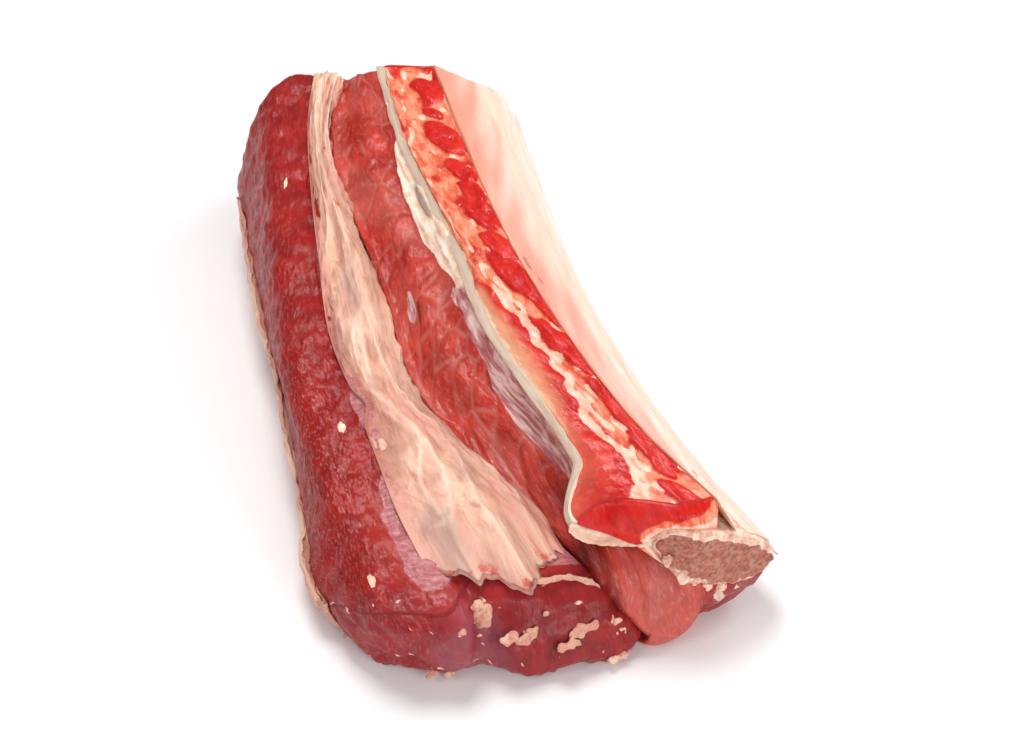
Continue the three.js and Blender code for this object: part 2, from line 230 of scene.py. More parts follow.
def fat_thickness(t):
    width = np.linalg.norm(line("fat_left", t) - line("fat_right", t), axis=-1)
    extra = (FAT_THICK - FAT_EDGE) * np.minimum(width / FAT_WIDE, 1)
    end = SEAM_SHOWS / SEAM_PARTS * FAT_TAPER
    return lambda u: FAT_EDGE + extra * math.sin(math.pi * min(u / end, 1))


def bone_outline(t, grow=0.0):
    left, right = line("bone_left", t), line("bone_right", t)
    middle = (left + right) / 2
    across = right - left
    length = np.linalg.norm(across, axis=-1, keepdims=True)
    across = across / length
    inward = np.stack([across[..., 1], -across[..., 0]], -1)

    def full(v):
        return math.copysign(abs(v) ** (2 / BONE_SQUARENESS), v)

    points = []
    for k in range(BONE_SIDES):
        angle = 2 * math.pi * k / BONE_SIDES
        along = (length / 2 + grow) * full(math.cos(angle))
        deep = -(BONE_THICK / 2 + grow) * full(math.sin(angle))
        points.append(middle + across * along + inward * deep)
    return points


def bone_part(t, first, last, grow):
    outline = bone_outline(t, grow)
    return [outline[k % BONE_SIDES] for k in range(first, last + 1)]


def reaches_floor(t):
    return 1 - rise(FLOOR_LIFT, t)


def flat_point(x, z):
    return np.stack([x, np.broadcast_to(z, x.shape)], -1)


def cut_edge(t, top):
    names = ("shoulder", "left_side", "left_foot")
    return smooth([top] + [line(name, t) for name in names], CUT_PARTS)


def outer_section(t):
    thickness = fat_thickness(t)
    under = shift(seam(t), lambda u: thickness(u) + GAP)
    foot = line("left_foot", t)
    end = flat_point(under[-1][..., 0] + 1 - reaches_floor(t), 0.0)
    lower = [foot + (end - foot) * k / 4 for k in range(5)]
    return lower, cut_edge(t, under[0])[::-1] + under[1:]


def fat_section(t):
    top = seam(t)
    return shift(top, fat_thickness(t)), top


def inner_section(t):
    bed = shift(seam(t), -GAP)[SEAM_SHOWS:]
    bed = [bed[1] + (bed[0] - bed[1]) * 0.35] + bed[2:]
    on_floor = reaches_floor(t)
    foot = flat_point(line("right_foot", t)[..., 0], (bed[-1][..., 1] + 0.4) * (1 - on_floor))
    left = flat_point(bed[-1][..., 0] + 0.6, (bed[-1][..., 1] - 0.2) * (1 - on_floor))
    roof = bone_part(t, 17, 22, GAP)
    top = sheet_top(t) + np.array([-GAP, -WALL_DROP[0]])
    wall = line("fascia_foot", t) + np.array([-GAP, -WALL_DROP[1]])
    skin = [top, line("inner_right", t), line("inner_crown", t), line("inner_left", t), bed[0]]
    face = smooth(skin, FACE_PARTS)[::-1]
    return bed + [left, foot], face + [wall] + roof + [line("right_side", t)]


def rib_muscle_section(t):
    wall = shift(sheet_line(t), -FASCIA_THICK - GAP)
    ridge = line("ridge", t) + np.array([0.1, 0.0])
    strip = smooth([ridge, line("strip_edge", t), wall[0]], STRIP_PARTS)
    tucked = line("ridge", t) + np.array(RIDGE_TUCK)
    return bone_part(t, 7, 16, GAP), [tucked] + strip + wall[1:]


def fascia_section(t):
    left = sheet_line(t)
    return shift(left, -FASCIA_THICK), left


def hidden_rib_muscle_section(t):
    tip = line("membrane_right", t) + np.array([-0.6, -0.6])
    side = line("right_side", t) + np.array([0, 0.3])
    return bone_part(t, 22, 26, GAP), [side, tip]


def bone_section(t):
    outline = bone_outline(t)
    return outline[12:] + outline[:1], outline[12::-1]


def membrane_section(t):
    on_bone = bone_part(t, 2, 6, GAP)[::-1]
    lower = [line("ridge", t)] + on_bone + [line("membrane_right", t)]
    return lower, shift(lower, lambda u: -MEMBRANE_THICK * (0.5 + 0.5 * math.sin(math.pi * u)))


def fat_cap_section(t):
    cut = cut_edge(t, line("fat_left", t))
    return shift(cut, GAP)[slice(*CAP_SPAN)], shift(cut, GAP + CAP_THICK)[slice(*CAP_SPAN)]


# The frame's origin is the middle of the footprint. The fascia's own box says where that lies.
_t = np.linspace(0, 1, 46)
_ring = sum(fascia_section(_t), [])
_low = np.min([place(p, _t).min(0) for p in _ring], 0)
ORIGIN = np.array(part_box("fascia")[0]) / MM - _low
ORIGIN[2] = 0.0


# ---- making a layer ------------------------------------------------------------------------------


def lattice(name, columns, sections, rows):
    """A closed box of quads, 1 by 1 by 1, as a grid that is extruded and then halved once."""
    bpy.ops.object.select_all(action="DESELECT")
    bpy.ops.mesh.primitive_grid_add(
        x_subdivisions=columns // 2, y_subdivisions=sections // 2, size=1, location=(0.5, 0.5, 0)
    )
    piece = bpy.context.object
    piece.name = name
    bpy.ops.object.mode_set(mode="EDIT")
    bpy.ops.mesh.select_all(action="SELECT")
    lifts = max(rows // 2, 1)
    for _ in range(lifts):
        lift = {"value": (0, 0, 1 / lifts)}
        bpy.ops.mesh.extrude_region_move(TRANSFORM_OT_translate=lift)
    bpy.ops.mesh.select_all(action="SELECT")
    bpy.ops.mesh.subdivide(number_cuts=1)
    bpy.ops.object.mode_set(mode="OBJECT")
    bpy.ops.object.transform_apply(location=True, rotation=True, scale=True)
    return piece


def read(piece, what="co"):
    values = np.empty(len(piece.data.vertices) * 3, np.float32)
    piece.data.vertices.foreach_get(what, values)
    return values.reshape(-1, 3).astype(float)


def write(piece, points):
    points[:, 2] = np.maximum(points[:, 2], 0)
    piece.data.vertices.foreach_set("co", points.astype(np.float32).ravel())
    piece.data.update()


def outward_normals(piece):
    """Turns every face of a closed piece outwards."""
    bpy.context.view_layer.objects.active = piece
    bpy.ops.object.mode_set(mode="EDIT")
    bpy.ops.mesh.select_all(action="SELECT")
    bpy.ops.mesh.normals_make_consistent(inside=False)
    bpy.ops.object.mode_set(mode="OBJECT")


def put_attribute(piece, name, values):
    """Stores a value or a vector for each point, for the shaders to read."""
    kind, field = ("FLOAT_VECTOR", "vector") if np.ndim(values) == 2 else ("FLOAT", "value")
    made = piece.data.attributes.new(name, kind, "POINT")
    made.data.foreach_set(field, np.asarray(values, np.float32).ravel())


def add_small_piece(piece, material):
    """A piece that scene.py adds and that stands for no solid."""
    piece.data.materials.append(material)
    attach(piece, "root")


def finish_modifier(piece, kind, **settings):
    bpy.context.view_layer.objects.active = piece
    modifier = piece.modifiers.new(kind, kind)
    for key, value in settings.items():
        setattr(modifier, key, value)
    bpy.ops.object.modifier_apply(modifier=modifier.name)


def chain_length(points, t=0.3):
    """Length along a section curve at each of its points, as a mean over the sections given; t is not used.
    """
    steps = np.linalg.norm(np.diff(np.stack(points), axis=0), axis=-1)
    return np.concatenate([[0], np.cumsum(steps.reshape(len(points) - 1, -1).mean(1))])


class Layer:
    """A piece with the place of each of its points in the meat: across u, along t, through v.

    low and high say where u lies on the section's lower and upper curve. start gives how far each
    part of the near end stands back, end the length, and swell how far each end bulges. inset
    moves the left edge in, and thin_edge is how far the near edge takes to reach full thickness."""

    def __init__(self, name, section, columns, sections, rows, low=None, high=None,
                 start=None, end=LENGTH, swell=(0, 0), rounding=4, inset=None, thin_edge=0):
        self.piece = lattice(name, columns, sections, rows)
        unit = np.clip(read(self.piece), 0, 1)
        u, along, v = unit[:, 0], unit[:, 1], unit[:, 2]
        low = low or ((0, 1), (0, 1))
        high = high or ((0, 1), (0, 1))
        at_low, at_high = np.interp(u, *low), np.interp(u, *high)
        first = section(np.zeros(len(u)))
        face = curve(first[0], at_low) * (1 - v[:, None]) + curve(first[1], at_high) * v[:, None]
        begin = start(face) / LENGTH if start else 0.0
        t = begin + (end / LENGTH - begin) * along
        lower, upper = section(t)
        if inset:
            reach = inset(t) * (1 - u) ** 2 / (len(upper) - 1)
            at_low, at_high = at_low + reach, at_high + reach
        up = v[:, None]
        if thin_edge:
            up = up * (0.2 + 0.8 * rise((0, thin_edge), (t - begin) * LENGTH))[:, None]
        flat = curve(lower, at_low) * (1 - up) + curve(upper, at_high) * up
        points = place(flat, t)
        pillow = (1 - (2 * u - 1) ** 4) * (1 - (2 * v - 1) ** 4)
        points[:, 1] -= swell[0] * pillow * np.clip(1 - along * LENGTH / 12, 0, 1) ** 2
        points[:, 1] += swell[1] * pillow * np.clip(1 - (1 - along) * LENGTH / 12, 0, 1) ** 2
        write(self.piece, (points + ORIGIN) * MM)
        outward_normals(self.piece)
        if rounding:
            finish_modifier(self.piece, "SMOOTH", factor=0.5, iterations=rounding)
        bpy.ops.object.shade_smooth()
        self.u, self.t, self.v, self.along, self.at = u, t, v, along, at_high * (len(upper) - 1)
        self.since = (t - begin) * LENGTH
        self.top = rise((0.6, 0.9), v) * (self.since > 0.3) * (end - t * LENGTH > 0.3)
        lengths = chain_length(upper)
        across = np.interp(self.at, np.arange(len(upper)), lengths)
        self.grain = np.stack([across, t * LENGTH, flat[:, 1] * (1 - v) * 2], -1)
        self.ends = ((along < 1e-4) | (along > 1 - 1e-4)) & (rows > 8)
        self.grain[self.ends] = np.stack([points[:, 0], points[:, 2], 0 * t], -1)[self.ends]
        self.mark("grain", self.grain * MM)

    @property
    def spots(self):
        """The points in millimetres, from the rib's own lines."""
        return read(self.piece) / MM - ORIGIN

    def raise_by(self, height):
        """Relief: moves each point out of the surface by so many millimetres."""
        write(self.piece, read(self.piece) + read(self.piece, "normal") * (height * MM)[:, None])

    def pull_near(self, height):
        """Relief of the near end: moves each point straight to the front by so many millimetres."""
        points = read(self.piece)
        points[:, 1] -= height * MM
        write(self.piece, points)

    def mark(self, name, values):
        put_attribute(self.piece, name, values)

    def stand_for(self, node, material):
        self.piece.data.materials.append(material)
        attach(self.piece, "root")
        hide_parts(node)


def rough(points, size, seed=0.0):
    """Smooth random heights, from about -1 to 1, that change over the given size."""
    scaled = points / np.array(size, float) + seed * 17.31
    return np.array([noise.noise(p) for p in scaled.tolist()]) * 1.6


def cells(points, size, seed=0.0):
    """Random cells: 0 on their borders and rising inwards, and each point's place in its cell."""
    scaled = points / np.array(size, float) + seed * 17.31
    borders, places = [], []
    for p in scaled.tolist():
        distances, middles = noise.voronoi(p)
        borders.append(distances[1] - distances[0])
        places.append(Vector(p) - middles[0])
    return np.array(borders), np.array(places)


def folds(points, size, seed=0.0):
    """Rounded cords with creases between them, from 0 in a crease to 1 on a cord."""
    return 1 - np.abs(rough(points, size, seed)) ** 0.7


def oval(across, along, middle, half, slant=0.0):
    """1 inside an oval and 0 outside, with a soft edge."""
    away = along - middle[1]
    off = (across - middle[0] - slant * away) / half[0]
    return rise((1.25, 0.75), np.hypot(off, away / half[1]))


# ---- materials -----------------------------------------------------------------------------------


def colour(code):
    """An sRGB hex value as a linear colour."""
    parts = [int(code[i : i + 2], 16) / 255 for i in (1, 3, 5)]
    return [c / 12.92 if c <= 0.04045 else ((c + 0.055) / 1.055) ** 2.4 for c in parts] + [1.0]


def add(tree, kind, settings=None, inputs=None):
    """Adds a node with its settings, and its inputs as values or links."""
    made = tree.nodes.new("ShaderNode" + kind)
    for key, value in (settings or {}).items():
        setattr(made, key, value)
    for key, value in (inputs or {}).items():
        if isinstance(value, bpy.types.NodeSocket):
            tree.links.new(value, made.inputs[key])
        else:
            made.inputs[key].default_value = value
    return made


def per_mm(size):
    """A texture's scale for detail of a size in millimetres."""
    return 1 / (size * MM)


def start_material(name):
    material = bpy.data.materials.new(name)
    material.use_nodes = True
    tree = material.node_tree
    tree.nodes.clear()
    return material, tree


def attribute(tree, name, output="Fac"):
    return add(tree, "Attribute", {"attribute_name": name}).outputs[output]


def blend(tree, factor, a, b, mode="MIX"):
    settings = {"data_type": "RGBA", "blend_type": mode}
    return add(tree, "Mix", settings, {0: factor, 6: a, 7: b}).outputs[2]


def ramp(tree, value, low, high, to_low=0.0, to_high=1.0):
    inputs = {0: value, 1: low, 2: high, 3: to_low, 4: to_high}
    return add(tree, "MapRange", {"interpolation_type": "SMOOTHSTEP"}, inputs).outputs[0]


def painted(tree, name, wobble, soft=0.1):
    """A mask painted on the points, its edge broken up by a noise."""
    inputs = {0: wobble, 1: 0.6, 2: attribute(tree, name)}
    raw = add(tree, "Math", {"operation": "MULTIPLY_ADD"}, inputs).outputs[0]
    return ramp(tree, raw, 0.8 - soft, 0.8 + soft)


def stretched(tree, coordinates, scale, turn=0.0):
    inputs = {"Vector": coordinates, "Scale": scale, "Rotation": (0, 0, turn)}
    return add(tree, "Mapping", {"vector_type": "POINT"}, inputs).outputs[0]


def noisy(tree, coordinates, size, detail=3.0, roughness=0.55, distortion=0.0):
    inputs = {
        "Vector": coordinates,
        "Scale": per_mm(size),
        "Detail": detail,
        "Roughness": roughness,
        "Distortion": distortion,
    }
    return add(tree, "TexNoise", None, inputs).outputs[0]


def meat(name, deep, bright, light, dark, glint_strokes, gloss, skin_run, glaze, silver,
         cream=("#efb291", "#fde2c8")):
    """Cut raw muscle: wet, its red uneven, with fine fibres that show as short pale dashes, partly pale
    fibres and partly painted glints of light. Silverskin, cream fat, pale or bruised parts and painted
    shade come from painted masks."""
    material, tree = start_material(name)
    grain = attribute(tree, "grain", "Vector")
    place_at = add(tree, "TexCoord").outputs["Object"]
    fibres = stretched(tree, grain, (1.0, 0.36, 1.0), glint_strokes[0])
    wobble = noisy(tree, place_at, 2.2, 3.0, 0.6)
    body = blend(tree, ramp(tree, noisy(tree, place_at, 11, 3.0), 0.36, 0.64), colour(deep), colour(bright))
    mottle = noisy(tree, fibres, 2.1, 4.0, 0.62, 0.3)
    body = blend(tree, ramp(tree, mottle, 0.5, 0.74, 0.0, 0.5), body, colour(light))
    body = blend(tree, ramp(tree, mottle, 0.5, 0.3, 0.0, 0.55), body, colour(dark))
    # Pale dashes along the fibres: partly pale fibres, partly painted glints of light.
    dashes = ramp(tree, noisy(tree, fibres, glint_strokes[1], 2.0, 0.5), 0.54, 0.68, 0.0, glint_strokes[2])
    where = add(tree, "Math", {"operation": "MULTIPLY"}, {0: dashes, 1: attribute(tree, "glint_strokes")})
    body = blend(tree, where.outputs[0], body, colour("#d58a80"))
    body = blend(tree, attribute(tree, "glaze"), body, colour(glaze))
    pale = blend(tree, ramp(tree, mottle, 0.36, 0.6), colour("#e65f3c"), colour("#f69a78"))
    body = blend(tree, painted(tree, "pale", wobble, 0.22), body, pale)
    body = blend(tree, attribute(tree, "bruise"), body, colour("#9a4a56"))
    streak = noisy(tree, stretched(tree, grain, skin_run), 1.3, 4.0, 0.6)
    skin = blend(tree, ramp(tree, streak, 0.38, 0.66), colour("#b05e64"), colour(silver))
    body = blend(tree, painted(tree, "skin", wobble), body, skin)
    fat = blend(tree, ramp(tree, mottle, 0.35, 0.62), colour(cream[0]), colour(cream[1]))
    body = blend(tree, painted(tree, "cream", wobble), body, fat)
    body = blend(tree, attribute(tree, "shade"), body, colour("#3c0c0c"))
    fine = noisy(tree, fibres, 0.7, 3.0, 0.6)
    coarse = noisy(tree, fibres, 2.1, 3.0, 0.5)
    height = add(tree, "Math", {"operation": "MULTIPLY_ADD"}, {0: coarse, 1: 2.4, 2: fine}).outputs[0]
    bump = add(tree, "Bump", None, {"Strength": 0.6, "Distance": 0.35 * MM, "Height": height})
    wet = ramp(tree, wobble, 0.35, 0.65, gloss - 0.12, gloss + 0.14)
    inputs = {
        "Base Color": body,
        "Roughness": wet,
        "IOR": 1.38,
        "Specular IOR Level": 0.28,
        "Subsurface Weight": 0.15,
        "Subsurface Radius": (1.0, 0.22, 0.14),
        "Subsurface Scale": 2.0 * MM,
        "Coat Weight": 0.22,
        "Coat Roughness": 0.06,
        "Normal": bump.outputs[0],
        "Coat Normal": bump.outputs[0],
    }
    shader = add(tree, "BsdfPrincipled", None, inputs)
    add(tree, "OutputMaterial", None, {"Surface": shader.outputs[0]})
    return material


def soft_tissue(name, base, light, dark, vein, size, run, roughness=0.4):
    """Fat, fascia and membrane: pale and satin, with fine wrinkles or streaks, and a pink or greyish cast
    where it is thin and the meat shows through. Masks also add painted highlights and painted shade, and
    the greyish cast carries painted shade."""
    material, tree = start_material(name)
    grain = attribute(tree, "grain", "Vector")
    place_at = add(tree, "TexCoord").outputs["Object"]
    wobble = noisy(tree, place_at, 1.6, 3.0, 0.6)
    streaks = stretched(tree, grain, run[:3], run[3])
    patches = noisy(tree, streaks, size, 4.0, 0.6, 0.6)
    body = blend(tree, ramp(tree, patches, 0.36, 0.6), colour(base), colour(light))
    lines = noisy(tree, streaks, 2.0, 5.0, 0.62, 0.5)
    body = blend(tree, ramp(tree, lines, 0.48, 0.3, 0.0, 0.7), body, colour(dark))
    body = blend(tree, ramp(tree, lines, 0.56, 0.72, 0.0, 0.45), body, colour("#fdebd6"))
    # Painted highlight: a light cream where light would catch.
    body = blend(tree, attribute(tree, "painted_highlight"), body, colour("#fde4cc"))
    body = blend(tree, attribute(tree, "blush"), body, colour(vein))
    # A greyish cast where the tissue is thin, and on the membrane painted shade.
    body = blend(tree, attribute(tree, "grey_and_shade"), body, colour("#bc968c"))
    body = blend(tree, painted(tree, "red", wobble, 0.15), body, colour("#d2574a"))
    body = blend(tree, attribute(tree, "shade"), body, colour("#a05a4a"))
    fine = noisy(tree, streaks, 0.8, 4.0, 0.6)
    height = add(tree, "Math", {"operation": "MULTIPLY_ADD"}, {0: lines, 1: 2.4, 2: fine}).outputs[0]
    bump = add(tree, "Bump", None, {"Strength": 0.7, "Distance": 0.5 * MM, "Height": height})
    inputs = {
        "Base Color": body,
        "Roughness": roughness,
        "IOR": 1.44,
        "Specular IOR Level": 0.4,
        "Subsurface Weight": 0.2,
        "Subsurface Radius": (1.0, 0.5, 0.32),
        "Subsurface Scale": 1.6 * MM,
        "Coat Weight": 0.08,
        "Coat Roughness": 0.2,
        "Normal": bump.outputs[0],
        "Coat Normal": bump.outputs[0],
    }
    shader = add(tree, "BsdfPrincipled", None, inputs)
    add(tree, "OutputMaterial", None, {"Surface": shader.outputs[0]})
    return material


def sawn_bone(name):
    """Rib bone: a pale pinkish shell round brown, grainy marrow where the saw has opened it."""
    material, tree = start_material(name)
    place_at = add(tree, "TexCoord").outputs["Object"]
    wobble = noisy(tree, place_at, 1.6, 3.0, 0.6)
    grit = noisy(tree, place_at, 1.4, 5.0, 0.65)
    marrow = blend(tree, ramp(tree, grit, 0.36, 0.62), colour("#8a4838"), colour("#c07c64"))
    blood = ramp(tree, noisy(tree, place_at, 3.4, 3.0), 0.52, 0.66, 0.0, 0.7)
    marrow = blend(tree, blood, marrow, colour("#a8453a"))
    shell_at = ramp(tree, noisy(tree, place_at, 2.4, 4.0), 0.36, 0.62)
    shell = blend(tree, shell_at, colour("#e0a08a"), colour("#fbdcc4"))
    body = blend(tree, painted(tree, "marrow", wobble, 0.15), shell, marrow)
    body = blend(tree, attribute(tree, "red"), body, colour("#a33b32"))
    bump = add(tree, "Bump", None, {"Strength": 0.6, "Distance": 0.4 * MM, "Height": grit})
    inputs = {
        "Base Color": body,
        "Roughness": 0.45,
        "Subsurface Weight": 0.12,
        "Subsurface Radius": (1.0, 0.5, 0.35),
        "Subsurface Scale": 1.5 * MM,
        "Normal": bump.outputs[0],
    }
    shader = add(tree, "BsdfPrincipled", None, inputs)
    add(tree, "OutputMaterial", None, {"Surface": shader.outputs[0]})
    return material


outer_meat = meat("outer muscle", "#8e0d0b", "#a21611", "#ae2a22", "#740a0b", (0.15, 0.7, 0.36), 0.4,
                  (0.3, 1.3, 1.0), "#c4463a", "#c88482")
inner_meat = meat("inner muscle", "#ae281d", "#c93a2d", "#d35648", "#961c17", (-0.6, 0.9, 0.4), 0.38,
                  (1.0, 0.1, 1.0), "#dc9184", "#efccc4", ("#f6c6a6", "#fff2e2"))
rib_meat = meat("rib muscle", "#c8120e", "#da241a", "#e2503c", "#a80c0c", (-0.5, 0.8, 0.3), 0.34,
                (1.0, 0.2, 1.0), "#f6b48c", "#dfb0a8", ("#f2a283", "#fcd8c0"))
seam_fat = soft_tissue("beef fat", "#e4aa92", "#f3c8ac", "#c9836e", "#d98a7e", 9, (1.0, 0.16, 1.0, 0.12))
white_sheet = soft_tissue("fascia", "#f4ccae", "#fde8d0", "#dca488", "#e8a08c", 6, (1.0, 0.16, 1.0, 0.0))
rib_skin = soft_tissue("membrane", "#fbd6c0", "#fdebd8", "#f0c0a6", "#ee9274", 16,
                       (1.0, 0.09, 1.0, 0.35), 0.32)
bone_material = sawn_bone("rib bone")

# ---- outer muscle --------------------------------------------------------------------------------

outer = Layer(
    "outer_muscle_meat", outer_section, 116, 286, 22,
    low=((0, 0.6, 1), (0.02, 0.55, 1)),
    high=((0, 0.6, 0.7, 1), (0.03, 14 / 32, 16 / 32, 1)),
    start=leans(OUTER_LEAN), swell=(5, 3), rounding=8,
)
g = outer.grain
along = g[:, 1]
spots = outer.spots
near_face = rise((14, 1), outer.since)
lump = oval(spots[:, 2], spots[:, 0], (10, -26), (12, 23))
groove = hump(-51, 5, spots[:, 0]) * near_face
outer.raise_by(
    0.55 * rough(spots, 15, 1) + 0.4 * rough(spots, 5, 2) + 0.25 * rough(g, (1.4, 4, 3), 3)
    + near_face * (3.0 * lump - 1.0 + 1.0 * rough(spots, 8, 31) + 0.5 * rough(spots, 3, 32)) - 2 * groove
)
face = outer.top
edge_side = outer.at + 0.25 * rough(g, (6, 5, 9), 4)
patch_edge = 14.1 - 1.5 * rise((52, 28), along) * rise((0, 14), along) - 0.6 * hump(76, 8, along)
patch = rise((-0.3, 0.3), edge_side - patch_edge) * rise((4, 10), along) * rise((112, 96), along)
outer.mark("skin", patch * face * rise((3, 8), outer.since))
outer.mark("glaze", 0.3 * rise((3, 0), patch_edge - outer.at) * rise((70, 30), along) * face)
flecks = near_face * rise((0.72, 0.95), rough(spots, 1.9, 53) + 0.35 * rough(spots, 9, 57))
outer.mark("cream", 0.75 * flecks + 0.35 * oval(outer.at, along, (12.0, 70), (0.25, 2.6)) * 3 * face
           + 1.05 * oval(outer.at, along, (10.1, 12), (0.25, 2.2)) * face
           + 1.05 * oval(outer.at, along, (11.2, 178), (0.2, 1.4)) * face)
# Painted glints: pale dashes on the outer muscle, most towards its near half.
outer.mark("glint_strokes", (0.35 + 0.65 * rise((0.62, 0.4), outer.t)) * rise((14, 11), outer.at)
           * (0.6 + 0.4 * rise((10, 50), along)))
purple = rise((16, 8), outer.since) * oval(spots[:, 2], spots[:, 0], (14, -56), (13, 11))
outer.mark("bruise", 0.8 * np.clip(purple * (1 + 0.5 * rough(spots, 7, 4)) + 0.2 * near_face, 0, 1))
outer.mark("shade", 0.3 * near_face * lump * np.clip(0.5 + rough(spots, 5, 33), 0, 1))
outer.stand_for("outer_muscle", outer_meat)

# ---- fat sheet -----------------------------------------------------------------------------------


def fat_start(p):
    """The sheet's ragged near edge: how far it stops short of the near end."""
    flat = np.stack([p[:, 0], 0 * p[:, 0], 0 * p[:, 0]], -1)
    return through(*FAT_PLAN, p[:, 0]) + 3.2 * rough(flat, 7, 5) + 1.7 * rough(flat, 2.4, 6)


fat = Layer(
    "fat_sheet", fat_section, 120, 286, 4,
    high=((0, 0.78, 1), (0, 7 / 18, 1)), low=((0, 0.78, 1), (0, 7 / 18, 1)),
    start=fat_start, end=LENGTH - FAT_FAR_SET_BACK, rounding=2,
    inset=lambda t: 1.0 * hump(0.355, 0.03, t) + 0.5 * rise((0.17, 0.02), t), thin_edge=9,
)
g = fat.grain
wavy = g + np.stack([3 * rough(g, (14, 30, 20), 40), 0 * g[:, 0], 0 * g[:, 0]], -1)
cords = folds(wavy, (8, 55, 30), 7)
wrinkles = folds(wavy, (3.0, 15, 20), 8)
inside = rise((0, 0.05), fat.u)
fat.raise_by(
    (1.9 * (cords - 0.6) + 1.0 * (wrinkles - 0.6) + 0.5 * rough(g, (2.2, 5, 6), 9)
     + 0.25 * rough(g, (1.2, 2.6, 6), 41)) * inside * rise((0, 8), fat.since)
)
across = fat.at / 7
fat.mark("blush", 0.75 * np.clip(0.8 * rough(wavy, (9, 30, 30), 10) + 0.9 * rise((0.3, 0.0), across)
                                 + 0.3 * rise((80, 30), g[:, 1]) - 0.1, 0, 1))
fat.mark("grey_and_shade", np.clip(0.9 * rough(wavy, (6, 22, 30), 11) - 0.2, 0, 0.7))
thin = rise((0.05, 0.0), np.abs(rough(wavy, (9, 34, 30), 42)))
edge = rise((5, 0.5), fat.since) * np.clip(0.55 + 0.6 * rough(g, (2.5, 2.5, 9), 63), 0, 1)
fat.mark("red", np.maximum(0.75 * thin * rise((0.2, 0.5), rough(g, (7, 10, 20), 43)), 0.6 * edge))
crease = np.maximum(rise((0.45, 0.1), cords), 0.7 * rise((0.35, 0.05), wrinkles))
fat.mark("shade", np.clip(0.35 * rise((0.75, 1.1), across) + 0.5 * crease, 0, 0.7))
# Painted highlight on the crowns of the cords.
fat.mark("painted_highlight", 0.7 * rise((0.7, 0.98), cords) * rise((0.1, 0.3), across))
fat.stand_for("fat_seam", seam_fat)

# ---- inner muscle --------------------------------------------------------------------------------

inner = Layer(
    "inner_muscle_meat", inner_section, 110, 286, 20,
    low=((0, 0.6, 1), (0, 0.8, 0.98)), high=((0, 0.68, 0.76, 1), (0, 12 / 20, 13 / 20, 0.99)),
    start=leans(INNER_LEAN), swell=(6, 3), rounding=4,
)
g = inner.grain
along = g[:, 1]
spots = inner.spots
turned = np.stack([g[:, 0] * 0.9 - g[:, 1] * 0.43, g[:, 1] * 0.9 + g[:, 0] * 0.43, g[:, 2]], -1)
turned = turned + (1.2 * rough(g, (9, 9, 9), 47))[:, None]
border, inside = cells(turned, (7.5, 13, 12), 12)
shingle = np.clip(border * 2.5, 0, 1) * (0.7 + 0.9 * inside[:, 1] - 0.8 * inside[:, 0])
x, z = spots[:, 0], spots[:, 2]
near_face = rise((10, 2), inner.since)
lump = oval(x, z, (0, 15), (12, 17)) * near_face
hollow = rise((-9, -12), x) * near_face
right_side = rise((10, 15), x) * near_face
inner.raise_by(
    (0.9 * shingle - 0.5) * (1 - near_face) + 0.5 * rough(spots, 12, 13) * (1 - near_face)
    + 0.15 * rough(turned, (1.5, 4, 4), 14)
)
inner.pull_near(near_face * (3.2 * lump + 0.9 * rough(spots, 6, 34) + 0.4 * rough(spots, 2.4, 35)
                             - 2 * hump(14, 2.5, x + 0.1 * z)))
face = inner.top
# Where the silverskin begins, as a place across over t, and then where the cream strands begin.
SILVER = ((0, 0.07, 0.116, 0.152, 0.191, 0.223, 0.272, 0.311, 0.356, 0.463, 0.55),
          (12, 10, 8.5, 7.3, 6.7, 7.0, 8.7, 9.6, 10.1, 9.6, 11))
silver = rise((-0.3, 0.3), inner.at + 0.3 * rough(g, (5, 7, 9), 15) - np.interp(inner.t, *SILVER)) * face
nick = oval(inner.at, along, (4.5, 104), (0.4, 6), 0.02) * face
inner.mark("skin", np.maximum(silver * rise((0.5, 0.45), inner.t), 0.9 * nick))
STRANDS = ((0.42, 0.463, 0.524, 0.573, 0.634, 0.693, 0.748, 0.8, 0.84),
           (11.5, 10.5, 9.9, 8.9, 8.6, 8.8, 9.5, 10.4, 11.6))
strands = rise((-0.3, 0.3), inner.at + 0.3 * rough(g, (5, 9, 9), 48) - np.interp(inner.t, *STRANDS)) * face
strands *= rise((0.43, 0.5), inner.t)
inner.raise_by(strands * (0.4 + 1.4 * (folds(g, (3.2, 26, 9), 49) - 0.4)))
finish_modifier(inner.piece, "SMOOTH", factor=0.5, iterations=2)  # softens the relief where it is tight
seam_lines = rise((0.13, 0.0), border) * np.clip(0.55 + rough(g, (8, 8, 8), 50), 0, 1)
fat_seam_at = hump(18, 1.6, x + 2 * rough(spots, 5, 37)) * rise((4, 9), z) * near_face
inner.mark("cream", np.maximum(strands * (1.05 + 0.25 * rough(g, (1.4, 9, 9), 16)), 0.9 * fat_seam_at))
inner.mark("glaze", 0.4 * seam_lines * face + 0.24 * lump
           + 0.18 * face * np.clip(0.4 + rough(g, (7, 12, 9), 56), 0, 1) * rise((20, 50), along))
# Painted glints: pale dashes on the top and more on the near end.
inner.mark("glint_strokes", 0.5 * face + 0.9 * near_face)
inner.mark("bruise", 0.35 * right_side * np.clip(0.5 + rough(spots, 6, 38), 0, 1))
slit = oval(inner.at, along, (5.2, 99), (0.22, 4), 0.05) * face
gap_beside = oval(inner.at, along, (10.9, 142), (0.5, 9)) * face
inner.mark("shade", np.clip(0.6 * slit + 0.6 * gap_beside + 0.5 * hollow + 0.3 * right_side
                            + 0.15 * rise((50, 15), along) * face
                            + 0.06 * rise((0.16, 0.0), border) * face, 0, 0.9))
inner.stand_for("inner_muscle", inner_meat)

# ---- rib muscle ----------------------------------------------------------------------------------

